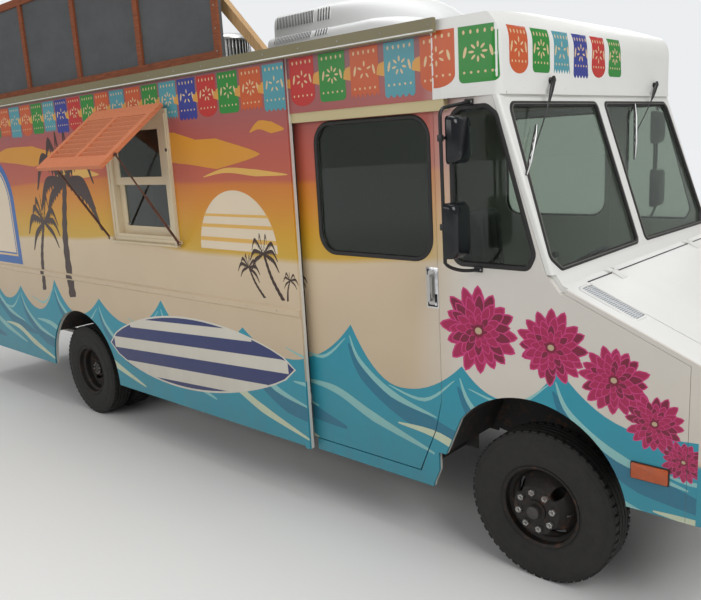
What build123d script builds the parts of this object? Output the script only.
from build123d import *
import math
import os

# A walk-in step van turned into a food truck, at its real size in millimetres.
# +X is forward, +Y is the driver's side and +Z is up. The origin is on the ground, under the
# middle of the truck's length. Stations are measured ahead of the front axle.

# Overall sizes
WHEELBASE = 4520
FRONT_OVERHANG = 1010
REAR_OVERHANG = 2270
LENGTH = FRONT_OVERHANG + WHEELBASE + REAR_OVERHANG
FRONT_AXLE_X = LENGTH / 2 - FRONT_OVERHANG
CARGO_HALF_WIDTH = 1165
CAB_HALF_WIDTH = 1090
SKIRT_Z = 400
GUTTER_Z = 2822
ROOF_EDGE_Z = 2884
ROOF_CROWN_Z = 2945
FLOOR_Z = 800

# Running clearances and seats
SEAT_GAP = 0.3
PIN_CLEARANCE = 0.05
ROLLER_CLEARANCE = 0.5
PANEL_GAP = 5
SHEET = 6
GLASS = 6

# Box body
WALL = 38
CARGO_FRONT = -1580
CARGO_REAR = FRONT_OVERHANG - LENGTH + 70
RUB_RAIL_Z = 1262
RUB_RAIL_HEIGHT = 60
RUB_RAIL_PROUD = 12
RUB_RAIL_CHAMFER = 14
ROOF_EDGE = 30
ROOF_SKIN = 24
EDGE_RAIL_PROUD = 22
EDGE_RAIL_HEIGHT = 70
GUTTER_PROUD = 28

# Load floor, wheel boxes and step wells
FLOOR_PLATE = 25
SILL_DEPTH = 40
SILL_WIDTH = 50
SILL_PITCH = 470
SILL_START = 60
AISLE_HALF_WIDTH = 620
AISLE_FRONT = -640
STEP_FRONT = -735
REAR_BOX_INNER_Y = 614
POCKET_INNER_Y = 1048
SHELF_FRONT = -480
TOE_REAR = -420
TOE_TOP_Z = 1046

# Wheels and tyres
TYRE_RADIUS = 412
TYRE_WIDTH = 205
RIM_RADIUS = 222
RIM_WIDTH = 165
RIM_WALL = 6
WHEEL_OFFSET = 124
DISC_WALL = 11
FRONT_TYRE_Y = 955
REAR_OUTER_TYRE_Y = CARGO_HALF_WIDTH - 148
TWIN_SPACING = 250
HAND_HOLES = 4
HAND_HOLE_RADIUS = 28
HAND_HOLE_CIRCLE = 146

# Steering and axles
KINGPIN_Y = 860
KINGPIN_RADIUS = 16
AXLE_EYE_RADIUS = 38
AXLE_EYE_HEIGHT = 84
KNUCKLE_LUG = 24
KNUCKLE_LUG_RADIUS = 36
STEERING_ARM = 16
SPINDLE_RADIUS = 30
SPINDLE_END_Y = 1040
BACKING_PLATE_RADIUS = 168
BRAKE_DRUM_RADIUS = 150
REAR_SPINDLE_RADIUS = 38
REAR_SPINDLE_END_Y = REAR_OUTER_TYRE_Y - 87
REAR_DRUM_RADIUS = 165
REAR_BACKING_Y = REAR_OUTER_TYRE_Y - 357
AXLE_TUBE_RADIUS = 48
DIFFERENTIAL_RADIUS = 165
PINION_RADIUS = 62
PINION_REACH = 330

# Springs and chassis rails
SPRING_Y = 432
SPRING_WIDTH = 64
LEAF = 11
LEAF_TAPER = 0.78
SPRING_EYE_RADIUS = 18
HANGER_WALL = 8
HANGER_HALF_LENGTH = 32
RAIL_TOP_Z = 735
RAIL_DEPTH = 150
RAIL_FLANGE = 65
RAIL_WALL = 7
RAIL_OUTER_Y = 465
RAIL_FRONT = 880
RAIL_REAR = CARGO_REAR + 80
CROSSMEMBER_DEPTH = 95
CROSSMEMBER_WIDTH = 60
CROSSMEMBER_WALL = 6
# column: station
CROSSMEMBERS = [640, -1350, -2300, -3250, -WHEELBASE + 570, -WHEELBASE - 730, RAIL_REAR + 190]
# columns: axle station, seat height, length, camber, leaves
SPRINGS = [
    (0, TYRE_RADIUS + 38, 1240, 50, 4),
    (-WHEELBASE, TYRE_RADIUS + 63, 1400, 25, 5),
]

# Driveline, tank and exhaust
# columns: rear, front, half width, bottom, top
ENGINE_BLOCKS = [
    (-520, 430, 290, 480, 1090),
    (-1120, -520, 150, 500, 705),
]
RADIATOR = (610, 668, 340, 1210)
SHAFT_RADIUS = 42
SHAFT_FRONT_Z = 590
TANK_REAR, TANK_FRONT = -2900, -1900
TANK_BOTTOM_Z, TANK_TOP_Z = 412, 690
TANK_OUTER_Y = 850
TANK_CORNER = 45
TANK_STRAPS = [-2750, -2050]
EXHAUST_Z = 500
EXHAUST_RADIUS = 30
EXHAUST_BEND = 110
MUFFLER_RADIUS = 88
MUFFLER_REAR, MUFFLER_FRONT = -2650, -1850
# columns: station, y
EXHAUST_ROUTE = [(-520, -230), (-760, -230), (-960, -560),
                 (CARGO_REAR + 160, -560)]

# Wheel arches
FRONT_ARCH_X = -40
FRONT_ARCH_Z = 485
FRONT_ARCH_RADIUS = 525
FRONT_ARCH_START = 12
FRONT_ARCH_END = 141
FRONT_ARCH_REAR = -640
FRONT_ARCH_REAR_Z = 388
REAR_ARCH_X = -WHEELBASE + 30
REAR_ARCH_RADIUS = TYRE_RADIUS + 173
WHEELHOUSE_INNER_Y = 590
WHEELHOUSE_GAP = 5

# Front cap over the windscreen
CAP_REAR = -530
CAP_BREAK = -480
CAP_SIDE_Y = CARGO_HALF_WIDTH - 25
CAP_CORNER_Y = CAB_HALF_WIDTH - 2
CAP_SKIN = 16
CAP_OVER_SCREEN = 14
CAP_BROW_RADIUS = 190
CAP_CORNER_RADIUS = 48
CAP_LIP = 9
CAP_LIP_HEIGHT = 14

# Windscreen and cowl
SCREEN_TOP_X = -185
SCREEN_TOP_Z = 2510
SCREEN_RAKE = 1 / 3
SCREEN_BASE_Z = 1655
SCREEN_THICKNESS = 32
PANE_DEPTH = 12
# Driver's pane; columns: y, height, corner radius
PANE = [(54, 1680, 30), (990, 1672, 40), (1064, 1735, 45), (1012, 2466, 50), (54, 2466, 30)]
FIREWALL = 54
FIREWALL_BOTTOM_Z = 1040
COWL_BOTTOM_Z = 1560

# Nose and hood
HOOD_LINE_X = 137
HOOD_LINE_Z = 1605
HOOD_SLOPE = 0.445
HOOD_REAR = 165
HOOD_FRONT = 806
HOOD_HALF_WIDTH = 866
HOOD_THICKNESS = 22
HOOD_HINGE_X = 167.5
HOOD_HINGE_RISE = 9
HOOD_HINGE_RADIUS = 6
HOOD_HINGE_Y = 560
NOSE_FRONT = 870
NOSE_SEAM = 740
NOSE_BOTTOM_Z = 585
NOSE_CORNER_RADIUS = 85
NOSE_BROW_RADIUS = 55
NOSE_SKIN = 5
GRILLE_HALF_WIDTH = 470
GRILLE_LOW_Z = 800
GRILLE_HIGH_Z = 1180
GRILLE_BARS = 8
GRILLE_BORDER = 28
GRILLE_BAR = 14
LAMP_Y = 740
LAMP_Z = 1020
LAMP_RADIUS = 96

# Bumpers
BUMPER_HALF_WIDTH = CAB_HALF_WIDTH + 20
BUMPER_LOW_Z = 520
BUMPER_HIGH_Z = 700
BUMPER_WALL = 20
BUMPER_TURN = 160
BUMPER_RETURN = 90
BRACKET_INNER_Y = 398
BRACKET_OUTER_Y = 468
STEP_BUMPER_OUT = 62
STEP_BUMPER_LOW_Z = 470
STEP_BUMPER_HIGH_Z = 610

# Cab sides and sliding doors
CAB_PANEL = 30
CAB_SIDE_BOTTOM_Z = 366
HOOD_LINE_DROP = 26
# Quarter window; columns: station, height, corner radius
QUARTER = [(-462, 1676, 60), (-30, 1676, 40), (4, 1745, 60), (-196, 2420, 45), (-250, 2462, 45),
           (-462, 2462, 75)]
DOOR_FRONT = -570
DOOR_REAR = -1612
DOOR_BOTTOM_Z = 446
DOOR_TOP_Z = 2480
DOOR_THICKNESS = 32
DOOR_RECESS = 3
DOOR_TRAVEL = 880
# Slanted lower front of the door, from the bottom up; columns: station, height
DOOR_HEEL = [(-737, DOOR_BOTTOM_Z), (-691, 552), (-619, 714), (DOOR_FRONT, 905)]
# Door window; columns: station, height, corner radius
DOOR_PANE = [(-1434, 1682, 118), (-604, 1682, 118), (-604, 2440, 118), (-1434, 2440, 118)]
HANDLE_X = -612
HANDLE_LOW_Z = 1440
HANDLE_HIGH_Z = 1628
HANDLE_PLATE = 40
HANDLE_STAND_OFF = 18
HANDLE_BAR = 10
HEADER_BOTTOM_Z = 2455
HEADER_TOP_Z = 2560
HEADER_FRONT = -470
HEADER_INNER_Y = CAB_HALF_WIDTH + 4
TRACK_FRONT = -572
TRACK_REAR = -2500
TRACK_Z = 2490
TRACK_HEIGHT = 23
TRACK_WALL = 3
ROLLER_RADIUS = 9.5
ROLLER_PIN_RADIUS = 4
ROLLER_INSET = 90

# Rear frame and doors
REAR_FRAME = 48
REAR_DOOR_HALF_WIDTH = CARGO_HALF_WIDTH - 420
REAR_DOOR_BOTTOM_Z = 806
REAR_DOOR_TOP_Z = 2560
REAR_DOOR_THICKNESS = 36
HINGE_OUT = 11
HINGE_RADIUS = 9
HINGE_HALF_LENGTH = 45
HINGE_KNUCKLE = 30
HINGE_HEIGHTS = [1000, 1680, 2360]
# Pressed panels of each rear door; columns: bottom, top
REAR_DOOR_PANELS = [(900, 1600), (1700, 2460)]

# Pick-up window
WINDOW_X = -3235
CASING_WIDTH = 870
CASING_BOTTOM_Z = 1650
CASING_TOP_Z = 2630
CASING_PROUD = 18
CASING_BORDER = 40
SASH_MARGIN = 75
MEETING_RAIL_Z = 2130
SASH_OVERLAP = 30
SASH_STILE = 74
SASH_RAIL = 58
SASH_THICKNESS = 18
SASH_GLASS = 4
CASING_HINGE_OFFSET = 330

# Shutter and its props
SHUTTER_WIDTH = 915
SHUTTER_LENGTH = 655
SHUTTER_THICKNESS = 28
SHUTTER_STILE = 56
SHUTTER_TOP_RAIL = 118
SHUTTER_BOTTOM_RAIL = 108
SHUTTER_MIDDLE = 48
SHUTTER_DROP = 8
SHUTTER_SLATS = 8
SLAT_WIDTH = 46
SLAT_THICKNESS = 7
SLAT_TILT = 38
SHUTTER_HINGE_Z = 2658
SHUTTER_HINGE_OUT = 38
SHUTTER_HINGE_RADIUS = 7
SHUTTER_OPEN_ANGLE = 52.5
PROP_OUT_OF_SHUTTER = 15
PROP_PIVOT_Z = 1684
PROP_REACH = 534
PROP_TUBE_RADIUS = 9
PROP_ROD_RADIUS = 6
PROP_EYE_RADIUS = 12
PROP_PIN_RADIUS = 5
PROP_TUBE_LENGTH = 405

# Roof gear
SIGN_REAR, SIGN_FRONT = -5950, -2260
SIGN_LOW_Z, SIGN_HIGH_Z = 2900, 3720
SIGN_BACK_Y = -CARGO_HALF_WIDTH + 125
SIGN_FACE_Y = SIGN_BACK_Y - 40
SIGN_BOARD = 22
SIGN_BATTEN = 60
SIGN_BAYS = 4
SIGN_POSTS = [-5800, -4100, -2640]
COOLER_BASE_Z = ROOF_CROWN_Z - 14
COOLER_HALF_WIDTH = 370
# Side outline of the cooler's tray; columns: station, height over its base, corner radius
COOLER_TRAY = [(-2600, 0, 20), (-1130, 0, 40), (-1070, 90, 30), (-1500, 190, 60), (-2560, 190, 40)]
# Side outline of its cover; columns: station, height over its base, corner radius
COOLER_COVER = [(-2570, 150, 0), (-1420, 150, 40), (-1700, 350, 90), (-2520, 350, 60)]
COOLER_COVER_HALF_WIDTH = 330
VENT_X, VENT_Y = -2790, -560
# Round vent; columns: radius, bottom, top
VENT_STEPS = [(170, 2900, 3120), (200, 3120, 3165)]

# Mirrors
MIRROR_X = -345
MIRROR_OUT = CAB_HALF_WIDTH + 250
MIRROR_TOP_Z = 2475
MIRROR_LOW_Z = 1705
MIRROR_TUBE_RADIUS = 9
# Heads; columns: inner y, outer y, bottom, top, rear, front, corner radius
MIRROR_HEADS = [
    (MIRROR_OUT - 168, MIRROR_OUT - 18, 2195, 2422, MIRROR_X + 14, MIRROR_X + 74, 22),
    (MIRROR_OUT - 150, MIRROR_OUT + 12, 1742, 2014, MIRROR_X + 12, MIRROR_X + 72, 24),
]

# Wipers; columns: pivot's y, y and height of the blade's top, and of its tip
WIPERS = [(-600, -830, 2357, -1065, 2126), (800, 471, 2459, 219, 2133)]
WIPER_PIVOT_Z = 2580

# Cab furniture
COVER_HALF_WIDTH = 390
COVER_REAR = -760
COVER_TOP_Z = 1240
COVER_SKIN = 8
SEAT_Y = 460
WHEEL_HUB = (-520, 470, 1420)
WHEEL_TILT = 35
WHEEL_RING_RADIUS = 215
WHEEL_GRIP_RADIUS = 13
COLUMN_RADIUS = 24
COLUMN_FRONT = -150


def ahead(distance):
    """Station along the truck, given as its distance ahead of the front axle."""
    return FRONT_AXLE_X + distance


def span(side, near, far):
    """Lowest and highest y of a stretch on one side of the centre plane."""
    return min(side * near, side * far), max(side * near, side * far)


def box(x0, x1, y0, y1, z0, z1):
    """Block between two corners, with x measured ahead of the front axle."""
    centre = (ahead((x0 + x1) / 2), (y0 + y1) / 2, (z0 + z1) / 2)
    return Pos(*centre) * Box(abs(x1 - x0), abs(y1 - y0), abs(z1 - z0))


def closed_wire(points, radius):
    """Closed outline, with one corner radius or a list of them."""
    if radius == 0:
        return Polyline(*points, close=True)
    return FilletPolyline(*points, radius=radius, close=True)


def side_prism(points, y0, y1, radius=0):
    """Outline in side view, as (ahead of the front axle, height), carried from y0 to y1."""
    wire = closed_wire([(ahead(x), y0, z) for x, z in points], radius)
    return extrude(make_face(wire), amount=y1 - y0, dir=(0, 1, 0))


def front_prism(points, x0, x1, radius=0):
    """Outline in front view, as (y, height), carried from x0 to x1."""
    wire = closed_wire([(ahead(x0), y, z) for y, z in points], radius)
    return extrude(make_face(wire), amount=x1 - x0, dir=(1, 0, 0))


def plan_prism(points, z0, z1, radius=0):
    """Outline in plan view, as (ahead of the front axle, y), carried from z0 to z1."""
    wire = closed_wire([(ahead(x), y, z0) for x, y in points], radius)
    return extrude(make_face(wire), amount=z1 - z0, dir=(0, 0, 1))


def arc_prism(start, runs, y0, y1):
    """Side-view outline of lines (x, z) and arcs (x, z through, x, z to), carried along y."""
    first = here = (ahead(start[0]), y0, start[1])
    edges = []
    for run in runs:
        there = (ahead(run[-2]), y0, run[-1])
        if len(run) == 4:
            edges.append(ThreePointArc(here, (ahead(run[0]), y0, run[1]), there))
        else:
            edges.append(Line(here, there))
        here = there
    edges.append(Line(here, first))
    return extrude(make_face(Wire(edges)), amount=y1 - y0, dir=(0, 1, 0))


def rod_y(x, z, radius, y0, y1):
    """Round bar along Y."""
    return Pos(ahead(x), (y0 + y1) / 2, z) * Rot(90, 0, 0) * Cylinder(radius, abs(y1 - y0))


def rod_x(y, z, radius, x0, x1):
    """Round bar along X."""
    return Pos(ahead((x0 + x1) / 2), y, z) * Rot(0, 90, 0) * Cylinder(radius, abs(x1 - x0))


def rod_z(x, y, radius, z0, z1):
    """Round bar along Z."""
    return Pos(ahead(x), y, (z0 + z1) / 2) * Cylinder(radius, abs(z1 - z0))


def bar_between(start, end, radius):
    """Round bar between two points, with x measured ahead of the front axle."""
    a = Vector(ahead(start[0]), start[1], start[2])
    b = Vector(ahead(end[0]), end[1], end[2])
    plane = Plane(origin=a, z_dir=b - a)
    return extrude(plane * Circle(radius), amount=(b - a).length)


def turned_y(profile, x, y, z):
    """Ring turned about a Y axis from (radius, distance outward along Y) points."""
    wire = Polyline(*[(r, 0, a) for r, a in profile], close=True)
    ring = revolve(make_face(wire), axis=Axis.Z, revolution_arc=360)
    return Pos(ahead(x), y, z) * Rot(-90, 0, 0) * ring


def other_side(shape):
    """The same piece on the far side of the centre plane."""
    return mirror(shape, about=Plane.XZ)


def pair(shape):
    """Two like pieces, one on each side."""
    return Compound(children=[*shape.solids(), *other_side(shape).solids()])


def corners(table):
    """Corner points of a table whose last column is the corner radius."""
    return [row[:2] for row in table]


def radii(table):
    """Corner radii of such a table."""
    return [row[2] for row in table]


def inset_points(points, amount):
    """Move each corner of an outline toward its middle by an amount along both axes."""
    middle_a = (min(a for a, b in points) + max(a for a, b in points)) / 2
    middle_b = (min(b for a, b in points) + max(b for a, b in points)) / 2
    return [(a - math.copysign(amount, a - middle_a), b - math.copysign(amount, b - middle_b))
            for a, b in points]


def hood_z(x):
    """Height of the sloping nose line at a station ahead of the front axle."""
    return HOOD_LINE_Z - HOOD_SLOPE * (x - HOOD_LINE_X)


def screen_x(z):
    """Station of the raked windscreen's front face at a height."""
    return SCREEN_TOP_X + (SCREEN_TOP_Z - z) * SCREEN_RAKE


def spring_eye(x, seat_z, length, camber, leaves, side):
    """Place of a spring's eye as (station, height)."""
    return x + side * length / 2, seat_z + leaves * LEAF + camber + 4


def leaf_pack(x, seat_z, length, camber, leaves):
    """Curved stack of leaves with an eye at each end, centred over one spring seat."""
    half = length / 2
    inner = (half**2 + camber**2) / (2 * camber)
    top_z = seat_z + leaves * LEAF
    y0, y1 = SPRING_Y - SPRING_WIDTH / 2, SPRING_Y + SPRING_WIDTH / 2
    pack = None
    for index in range(leaves):
        angle = half * (1 - LEAF_TAPER * index / leaves) / inner

        def spot(radius, turn):
            return x + radius * math.sin(turn), top_z + inner - radius * math.cos(turn)

        near, far = inner + index * LEAF, inner + (index + 1) * LEAF
        leaf = arc_prism(spot(near, -angle),
                         [(*spot(near, 0), *spot(near, angle)), spot(far, angle),
                          (*spot(far, 0), *spot(far, -angle))], y0, y1)
        pack = leaf if pack is None else pack + leaf
    for side in (-1, 1):
        eye_x, eye_z = spring_eye(x, seat_z, length, camber, leaves, side)
        pack += rod_y(eye_x, eye_z, SPRING_EYE_RADIUS, y0, y1)
    return pack


def chassis():
    """Ladder frame with spring hangers and tank straps, and the leaf springs."""
    under = RAIL_TOP_Z - RAIL_DEPTH
    web_y = RAIL_OUTER_Y - RAIL_WALL
    rail = box(RAIL_REAR, RAIL_FRONT, RAIL_OUTER_Y - RAIL_FLANGE, RAIL_OUTER_Y, under, RAIL_TOP_Z)
    rail -= box(RAIL_REAR, RAIL_FRONT, RAIL_OUTER_Y - RAIL_FLANGE, web_y,
                under + RAIL_WALL, RAIL_TOP_Z - RAIL_WALL)
    reach = SPRING_WIDTH / 2 + 0.5
    for row in SPRINGS:
        for side in (-1, 1):
            eye_x, eye_z = spring_eye(*row, side)
            hanger = box(eye_x - HANGER_HALF_LENGTH, eye_x + HANGER_HALF_LENGTH,
                         SPRING_Y - reach - HANGER_WALL, SPRING_Y + reach + HANGER_WALL,
                         eye_z - 34, under + RAIL_WALL)
            rail += hanger - box(eye_x - HANGER_HALF_LENGTH - 1, eye_x + HANGER_HALF_LENGTH + 1,
                                 SPRING_Y - reach, SPRING_Y + reach, eye_z - 35, under)
    members = [other_side(rail)]
    half = CROSSMEMBER_WIDTH / 2
    for x in CROSSMEMBERS:
        beam = box(x - half, x + half, -web_y, web_y, RAIL_TOP_Z - CROSSMEMBER_DEPTH, RAIL_TOP_Z)
        members.append(beam - box(x - half + CROSSMEMBER_WALL, x + half, -web_y, web_y,
                                  RAIL_TOP_Z - CROSSMEMBER_DEPTH, RAIL_TOP_Z - CROSSMEMBER_WALL))
    strap_z = TANK_BOTTOM_Z - 10
    for x in TANK_STRAPS:
        members.append(box(x - 25, x + 25, RAIL_OUTER_Y - 2, TANK_OUTER_Y + 10, strap_z,
                           TANK_BOTTOM_Z))
        members.append(box(x - 25, x + 25, RAIL_OUTER_Y - 2, RAIL_OUTER_Y + HANGER_WALL, strap_z,
                           RAIL_TOP_Z - 20))
    springs = [solid for row in SPRINGS for solid in pair(leaf_pack(*row)).solids()]
    return {"chassis_frame": rail.fuse(*members), "leaf_springs": Compound(children=springs)}


def front_axle():
    """Dropped I-beam with an eye at each end for its kingpin."""
    end_y = KINGPIN_Y - 12
    half = [(470, 330), (600, 366), (end_y, 386), (end_y, 444), (640, 436), (520, 412),
            (480, 450), (384, 450), (350, 410)]
    beam = front_prism(half + [(-y, z) for y, z in reversed(half)], -40, 40)
    for x0, x1 in ((-40, -14), (14, 40)):
        beam -= front_prism([(-330, 346), (330, 346), (330, 394), (-330, 394)], x0, x1, 12)
        for side in (-1, 1):
            beam -= front_prism([(side * 510, 360), (side * 625, 386), (side * 625, 418),
                                 (side * 530, 392)], x0, x1)
    for y in (-KINGPIN_Y, KINGPIN_Y):
        beam += rod_z(0, y, AXLE_EYE_RADIUS, TYRE_RADIUS - AXLE_EYE_HEIGHT / 2,
                      TYRE_RADIUS + AXLE_EYE_HEIGHT / 2)
        beam -= rod_z(0, y, KINGPIN_RADIUS + PIN_CLEARANCE, TYRE_RADIUS - AXLE_EYE_HEIGHT,
                      TYRE_RADIUS + AXLE_EYE_HEIGHT)
    return beam


def knuckle():
    """Steering knuckle of the driver's side: two lugs, kingpin, spindle and backing plate."""
    z = TYRE_RADIUS
    lug_z = AXLE_EYE_HEIGHT / 2 + 0.5
    low_z, high_z = z - lug_z - KNUCKLE_LUG, z + lug_z + KNUCKLE_LUG
    web_y = KINGPIN_Y + AXLE_EYE_RADIUS + 8
    body = rod_z(0, KINGPIN_Y, KINGPIN_RADIUS, low_z, high_z)
    for low in (z + lug_z, low_z):
        body += rod_z(0, KINGPIN_Y, KNUCKLE_LUG_RADIUS, low, low + KNUCKLE_LUG)
        body += box(-34, 34, KINGPIN_Y, web_y + 10, low, low + KNUCKLE_LUG)
    body += box(-45, 45, web_y, web_y + 20, low_z, high_z)
    body += rod_y(0, z, SPINDLE_RADIUS, web_y + 18, SPINDLE_END_Y)
    body += rod_y(0, z, BACKING_PLATE_RADIUS, web_y + 20, web_y + 26)
    arm = [(-20, KINGPIN_Y - 20), (-20, KINGPIN_Y + 20), (-175, KINGPIN_Y - 30),
           (-205, KINGPIN_Y - 45), (-205, KINGPIN_Y - 75), (-175, KINGPIN_Y - 75)]
    return body + plan_prism(arm, low_z, low_z + STEERING_ARM)


def rear_axle():
    """Driven axle: bowl, tubes, spring seats, backing plates and spindles."""
    half = [(0, 0), (DIFFERENTIAL_RADIUS, 0), (DIFFERENTIAL_RADIUS, 55), (140, 105), (90, 160),
            (AXLE_TUBE_RADIUS, 240), (AXLE_TUBE_RADIUS, REAR_BACKING_Y), (178, REAR_BACKING_Y),
            (178, REAR_BACKING_Y + 7), (REAR_SPINDLE_RADIUS, REAR_BACKING_Y + 7),
            (REAR_SPINDLE_RADIUS, REAR_SPINDLE_END_Y), (0, REAR_SPINDLE_END_Y)]
    side = turned_y(half, -WHEELBASE, 0, TYRE_RADIUS)
    seat_z = SPRINGS[1][1]
    seat = box(-WHEELBASE - 60, -WHEELBASE + 60, SPRING_Y - 34, SPRING_Y + 34, TYRE_RADIUS, seat_z)
    side += seat - rod_y(-WHEELBASE, TYRE_RADIUS, AXLE_TUBE_RADIUS - 2, 300, 600)
    pinion = rod_x(0, TYRE_RADIUS, PINION_RADIUS, -WHEELBASE + 120, -WHEELBASE + PINION_REACH)
    return side + other_side(side) + pinion


def rim_profile():
    """Section of a drop-centre rim, as (radius, distance from the rim's middle)."""
    edge = RIM_WIDTH / 2
    outer = [(RIM_RADIUS, edge + 6), (RIM_RADIUS, edge), (RIM_RADIUS - 11, edge - 5),
             (RIM_RADIUS - 13, 42), (RIM_RADIUS - 32, 30)]
    inner = [(RIM_RADIUS - 32 - RIM_WALL, 33), (RIM_RADIUS - 13 - RIM_WALL, 46),
             (RIM_RADIUS - 11 - RIM_WALL, edge - 1), (RIM_RADIUS - RIM_WALL, edge + 6)]
    right = [(r, -a) for r, a in reversed(outer)]
    back = [(r, -a) for r, a in reversed(inner)]
    return outer + right + back + inner


def disc_wheel(y, dish):
    """Rim and dished disc, with the disc's seat carried along y by the wheel's offset."""
    inner = RIM_RADIUS - 32 - RIM_WALL + 2
    seat = WHEEL_OFFSET * dish
    back = (WHEEL_OFFSET - DISC_WALL) * dish
    disc = [(inner, 12 * dish), (inner, 26 * dish), (160, 62 * dish), (128, seat), (30, seat),
            (30, back), (120, back), (150, 52 * dish)]
    wheel = turned_y(rim_profile(), 0, y, TYRE_RADIUS) + turned_y(disc, 0, y, TYRE_RADIUS)
    for index in range(HAND_HOLES):
        angle = math.radians(45 + 360 * index / HAND_HOLES)
        wheel -= rod_y(HAND_HOLE_CIRCLE * math.cos(angle),
                       TYRE_RADIUS + HAND_HOLE_CIRCLE * math.sin(angle),
                       HAND_HOLE_RADIUS, y, y + dish * (WHEEL_OFFSET + 10))
    return wheel


def tyre(x, y):
    """Tyre with rounded shoulders, seated a little off its rim."""
    seat = RIM_RADIUS - 10.5
    half = TYRE_WIDTH / 2
    bead = RIM_WIDTH / 2 - 5
    shape = [(seat, bead), (seat + 8, bead + 3), (RIM_RADIUS + SEAT_GAP, bead + 4),
             (RIM_RADIUS + 20, half - 9), (RIM_RADIUS + 75, half),
             (TYRE_RADIUS - 40, half - 4), (TYRE_RADIUS - 14, half - 16), (TYRE_RADIUS, half - 42)]
    return turned_y(shape + [(r, -a) for r, a in reversed(shape)], x, y, TYRE_RADIUS)


def front_wheel():
    """Front wheel with its hub and drum, on the driver's side."""
    face = FRONT_TYRE_Y + WHEEL_OFFSET
    drum_y = KINGPIN_Y + AXLE_EYE_RADIUS + 40
    wheel = disc_wheel(FRONT_TYRE_Y, 1)
    # columns: radius, inner y, outer y
    for radius, y0, y1 in ((BRAKE_DRUM_RADIUS, drum_y, drum_y + 42), (68, drum_y, face - DISC_WALL),
                           (56, face - DISC_WALL, face + 10), (34, face + 10, face + 24)):
        wheel += rod_y(0, TYRE_RADIUS, radius, y0, y1)
    return wheel - rod_y(0, TYRE_RADIUS, SPINDLE_RADIUS + PIN_CLEARANCE, drum_y - 1,
                         SPINDLE_END_Y + 6)


def rear_wheels():
    """Twin rear wheels bolted back to back on one hub, on the driver's side."""
    seat_y = REAR_OUTER_TYRE_Y - WHEEL_OFFSET
    inner_y = REAR_OUTER_TYRE_Y - TWIN_SPACING
    wheels = disc_wheel(REAR_OUTER_TYRE_Y, -1) + disc_wheel(inner_y, 1)
    drum_y = REAR_BACKING_Y + 14
    # columns: radius, inner y, outer y
    for radius, y0, y1 in ((140, inner_y + WHEEL_OFFSET, seat_y), (REAR_DRUM_RADIUS, drum_y, inner_y),
                           (86, inner_y, seat_y), (72, seat_y, seat_y + 130),
                           (60, seat_y + 130, seat_y + 142)):
        wheels += rod_y(0, TYRE_RADIUS, radius, y0, y1)
    wheels -= rod_y(0, TYRE_RADIUS, REAR_SPINDLE_RADIUS + PIN_CLEARANCE, drum_y - 4,
                    REAR_SPINDLE_END_Y + 6)
    return Pos(-WHEELBASE, 0, 0) * wheels


def rolling():
    """Wheels, tyres and knuckles of both sides."""
    twins = [tyre(-WHEELBASE, REAR_OUTER_TYRE_Y), tyre(-WHEELBASE, REAR_OUTER_TYRE_Y - TWIN_SPACING)]
    left = {
        "knuckle": knuckle(),
        "front_wheel": front_wheel(),
        "front_tyre": tyre(0, FRONT_TYRE_Y),
        "rear_wheels": rear_wheels(),
        "rear_tyres": Compound(children=[twin.solid() for twin in twins]),
    }
    nodes = {}
    for name, shape in left.items():
        nodes[name + "_left"] = shape
        nodes[name + "_right"] = other_side(shape)
    return nodes


def driveline():
    """Engine with gearbox as plain blocks, radiator, shaft, tank and exhaust."""
    engine = None
    for rear, front, half, low, high in ENGINE_BLOCKS:
        block = box(rear, front, -half, half, low, high)
        engine = block if engine is None else engine + block
    rear, front, half, high = RADIATOR
    radiator = box(rear, front, -half, half, RAIL_TOP_Z, high)
    gearbox_end = ENGINE_BLOCKS[1][0]
    shaft = bar_between((gearbox_end - 3, 0, SHAFT_FRONT_Z),
                        (-WHEELBASE + PINION_REACH + 3, 0, TYRE_RADIUS), SHAFT_RADIUS)
    tank = side_prism([(TANK_REAR, TANK_BOTTOM_Z), (TANK_FRONT, TANK_BOTTOM_Z),
                       (TANK_FRONT, TANK_TOP_Z), (TANK_REAR, TANK_TOP_Z)],
                      RAIL_OUTER_Y + HANGER_WALL, TANK_OUTER_Y, TANK_CORNER)
    path = FilletPolyline(*[(ahead(x), y, EXHAUST_Z) for x, y in EXHAUST_ROUTE],
                          radius=EXHAUST_BEND)
    exhaust = sweep(Plane(origin=path @ 0, z_dir=path % 0) * Circle(EXHAUST_RADIUS), path=path)
    exhaust += rod_x(EXHAUST_ROUTE[-1][1], EXHAUST_Z, MUFFLER_RADIUS, MUFFLER_REAR, MUFFLER_FRONT)
    return {"engine": engine, "radiator": radiator, "drive_shaft": shaft,
            "fuel_tank": tank, "exhaust_pipe": exhaust}


def floor():
    """Load floor on cross sills, open over the wheels and beside the doors' pockets."""
    inner = CARGO_HALF_WIDTH - WALL
    top = FLOOR_Z
    plate_z = top - FLOOR_PLATE
    rear = CARGO_REAR + REAR_FRAME
    deck = box(rear, CARGO_FRONT, -inner, inner, plate_z, top)
    deck += box(CARGO_FRONT, AISLE_FRONT, -AISLE_HALF_WIDTH, AISLE_HALF_WIDTH, plate_z, top)
    x = rear + SILL_START
    while x < CARGO_FRONT:
        deck += box(x, x + SILL_WIDTH, -inner, inner, plate_z - SILL_DEPTH, plate_z)
        x += SILL_PITCH
    for side in (-1, 1):
        deck -= rod_y(REAR_ARCH_X, SKIRT_Z, REAR_ARCH_RADIUS + SHEET + SEAT_GAP,
                      *span(side, REAR_BOX_INNER_Y - SEAT_GAP, inner + 5))
        deck -= box(CARGO_FRONT - DOOR_TRAVEL - 45, CARGO_FRONT + 1,
                    *span(side, POCKET_INNER_Y, inner + 5), 500, top + 5)
    return {"floor": deck, "wheel_boxes": pair(wheel_box()), "step_wells": pair(step_well())}


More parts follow.
